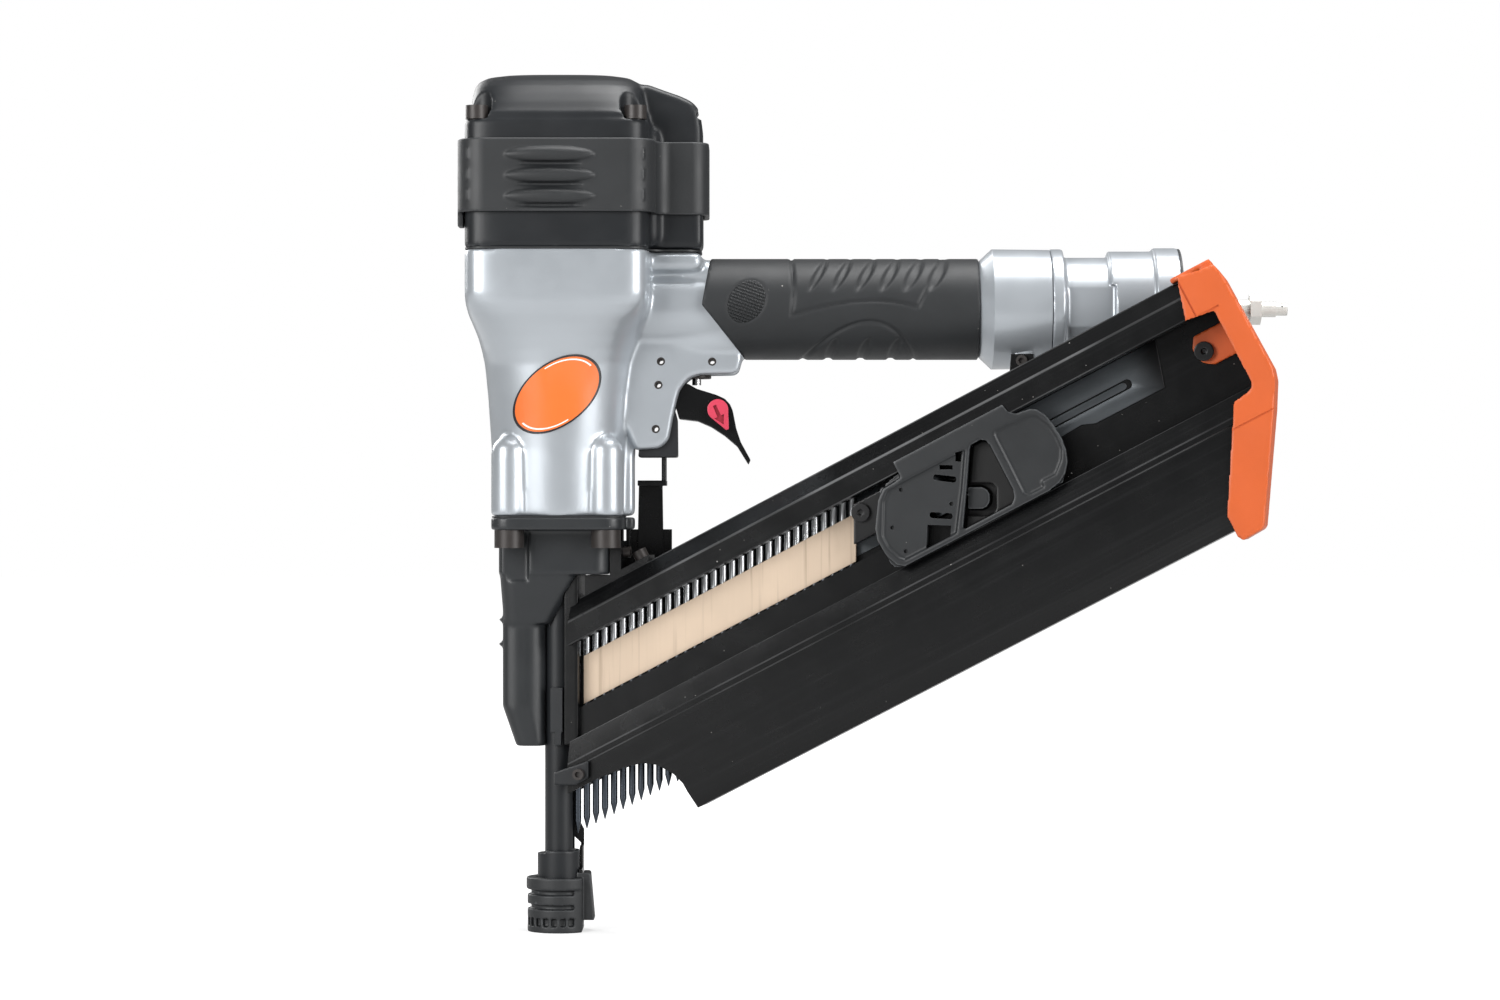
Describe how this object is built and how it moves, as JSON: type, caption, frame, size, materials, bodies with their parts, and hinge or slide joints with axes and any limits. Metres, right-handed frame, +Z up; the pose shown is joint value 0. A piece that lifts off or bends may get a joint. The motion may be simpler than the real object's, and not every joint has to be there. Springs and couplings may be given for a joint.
{
  "type": "pneumatic nail gun",
  "caption": "Pneumatic framing nailer with sliding driver, sprung trigger and contact foot, sloping strip magazine, pusher, rubber grip and air plug.",
  "frame": {"origin": "on the driver axis, at the face of the no-mar tip that meets the workpiece", "axes": "+Z up along the driver axis from the nose to the cap, +X from the driver axis towards the handle's end and its air plug, -Y the side with the magazine's window"},
  "size_m": [0.3707, 0.1182, 0.384],
  "materials": {
    "silver_paint": "satin",
    "black_metal": "satin",
    "graphite_metal": "matte",
    "orange_plastic": "matte",
    "red_plastic": "matte",
    "black_rubber": "matte",
    "grip_rubber": "matte",
    "amber_rubber": "matte",
    "black_plastic": "matte",
    "pale_plastic": "satin",
    "bright_steel": "satin",
    "liner_steel": "satin",
    "dark_steel": "satin",
    "nail_steel": "satin",
    "aluminium": "satin",
    "filter": "matte",
    "tape": "matte"
  },
  "bodies": {
    "frame": {"cylinder_cap": "graphite_metal", "cap_screws": "dark_steel", "cap_gasket": "black_rubber", "bumper_band": "black_rubber", "head_valve_spring": "bright_steel", "cylinder_sleeve": "aluminium", "sleeve_o_rings": "black_rubber", "piston_bumper": "amber_rubber", "housing": "silver_paint", "badge": "orange_plastic", "body_pins": "dark_steel", "trigger_pin": "dark_steel", "trigger_guide": "black_plastic", "trigger_spring": "bright_steel", "valve_housing": "dark_steel", "valve_o_rings": "black_rubber", "valve_spring": "bright_steel", "handle_grip": "grip_rubber", "handle_end_cap": "silver_paint", "end_cap_seal": "black_rubber", "end_cap_trim": "black_rubber", "air_filter": "filter", "air_plug": "bright_steel", "nose_gasket": "black_rubber", "nose_casting": "graphite_metal", "nose_screws": "dark_steel", "drive_guide": "graphite_metal", "feed_shoe": "black_metal", "nose_clamp": "graphite_metal", "arm_bracket": "black_metal", "contact_spring": "bright_steel", "magazine_body": "black_metal", "magazine_mount": "black_metal", "mount_screws": "dark_steel", "lower_clamp": "graphite_metal", "magazine_liner": "liner_steel", "magazine_bracket": "black_metal", "magazine_end_cap": "orange_plastic", "end_cap_screw": "dark_steel", "feed_band": "bright_steel"},
    "driver": {"piston": "aluminium", "piston_ring": "black_rubber", "piston_nut": "bright_steel", "driver_blade": "bright_steel"},
    "head_valve": {"head_valve": "pale_plastic", "head_valve_seal": "black_rubber"},
    "trigger": {"trigger": "black_metal"},
    "selector": {"selector_knob": "red_plastic"},
    "contact_lever": {"contact_lever": "bright_steel"},
    "valve_plunger": {"valve_plunger": "bright_steel"},
    "contact": {"contact_foot": "graphite_metal", "contact_arm": "black_metal", "contact_rod": "black_metal"},
    "tip": {"no_mar_tip": "black_rubber"},
    "nails": {"nail_strip": "nail_steel", "nail_tape": "tape"},
    "pusher": {"pusher_frame": "graphite_metal", "pusher_pawl": "dark_steel", "pusher_screw": "dark_steel"},
    "spring_drum": {"feed_spring_drum": "bright_steel"}
  },
  "joints": [
    {"name": "driver_stroke", "type": "slide", "parent": "frame", "child": "driver", "axis": [0, 0, -1], "range_m": [0, 0.122]},
    {"name": "head_valve_lift", "type": "slide", "parent": "frame", "child": "head_valve", "axis": [0, 0, 1], "range_m": [0, 0.006], "stiffness_N_per_m": 900, "springref_m": -0.002, "deforming": ["head_valve_spring"]},
    {"name": "trigger_pull", "type": "hinge", "parent": "frame", "child": "trigger", "pos_m": [0.0446, 0, 0.2449], "axis": [0, -1, 0], "range_deg": [0, 11], "stiffness_Nm_per_rad": 0.6, "springref_deg": -5.73, "deforming": ["trigger_spring"]},
    {"name": "selector_turn", "type": "hinge", "parent": "trigger", "child": "selector", "pos_m": [0.0711, 0, 0.2339], "axis": [0, -1, 0], "range_deg": [-25, 25]},
    {"name": "contact_lever_tilt", "type": "hinge", "parent": "trigger", "child": "contact_lever", "pos_m": [0.0711, 0, 0.2339], "axis": [0, 1, 0], "range_deg": [0, 8.1]},
    {"name": "plunger_lift", "type": "slide", "parent": "frame", "child": "valve_plunger", "axis": [0, 0, 1], "range_m": [0, 0.0031], "deforming": ["valve_spring"]},
    {"name": "contact_slide", "type": "slide", "parent": "frame", "child": "contact", "axis": [0, 0, 1], "range_m": [0, 0.0095], "stiffness_N_per_m": 260, "springref_m": -0.01, "deforming": ["contact_spring"]},
    {"name": "tip_pull", "type": "slide", "parent": "contact", "child": "tip", "axis": [0, 0, -1], "range_m": [0, 0.02]},
    {"name": "strip_slide", "type": "slide", "parent": "frame", "child": "nails", "axis": [0.8735, -0.154, 0.4617], "range_m": [0, 0.012]},
    {"name": "pusher_slide", "type": "slide", "parent": "nails", "child": "pusher", "axis": [0.8735, -0.154, 0.4617], "range_m": [0, 0.04]},
    {"name": "spring_drum_turn", "type": "hinge", "parent": "pusher", "child": "spring_drum", "pos_m": [0.1696, -0.03417, 0.194], "axis": [-0.4547, 0.0802, 0.887], "range_deg": [-1, 364]}
  ],
  "couplings": [
    {"joint": "contact_lever_tilt", "follows": "contact_slide", "rad_per_m": 14.697},
    {"joint": "plunger_lift", "follows": "trigger_pull", "m_per_rad": 0.015626},
    {"joint": "spring_drum_turn", "follows": "pusher_slide", "rad_per_m": 158.73}
  ]
}
